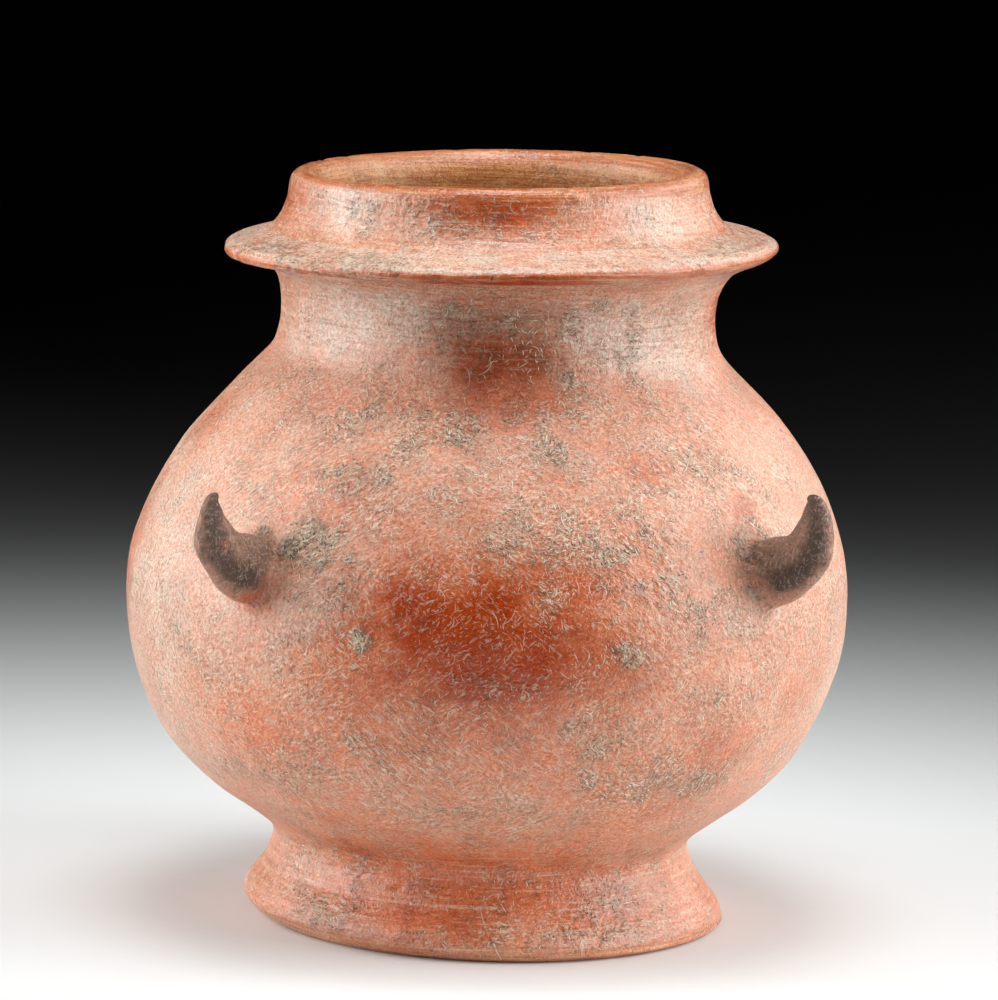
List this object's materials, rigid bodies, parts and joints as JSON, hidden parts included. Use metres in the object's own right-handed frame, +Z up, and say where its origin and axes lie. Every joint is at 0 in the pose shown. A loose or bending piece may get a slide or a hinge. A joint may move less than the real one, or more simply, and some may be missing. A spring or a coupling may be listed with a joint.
{
  "type": "redware jar",
  "caption": "Hand-built redware jar with a flared ring foot, squat round body, short neck, projecting rim flange, concave collar and upturned solid prongs on the shoulder.",
  "frame": {"origin": "centre of the bounding box, on the plane the ring foot stands on", "axes": "+Z up, along the jar's height; -Y towards the front seen in the picture, +X to its right"},
  "size_m": [0.2312, 0.2312, 0.2428],
  "materials": {
    "slip_body": "burnished red slip, mottled with buff and grey soil deposits",
    "slip_foot": "burnished red slip with horizontal burnishing marks",
    "slip_rim": "burnished orange-red slip, glossy on the lip",
    "prong_clay": "grey-brown, sooted and gritty slip"
  },
  "bodies": {
    "root": {"foot_ring": "slip_foot", "lower_bowl": "slip_body", "upper_shoulder": "slip_body", "neck": "slip_body", "rim_flange": "slip_rim", "rim_collar": "slip_rim", "prong_front_left": "prong_clay", "prong_front_right": "prong_clay", "prong_back_right": "prong_clay", "prong_back_left": "prong_clay"}
  },
  "joints": []
}
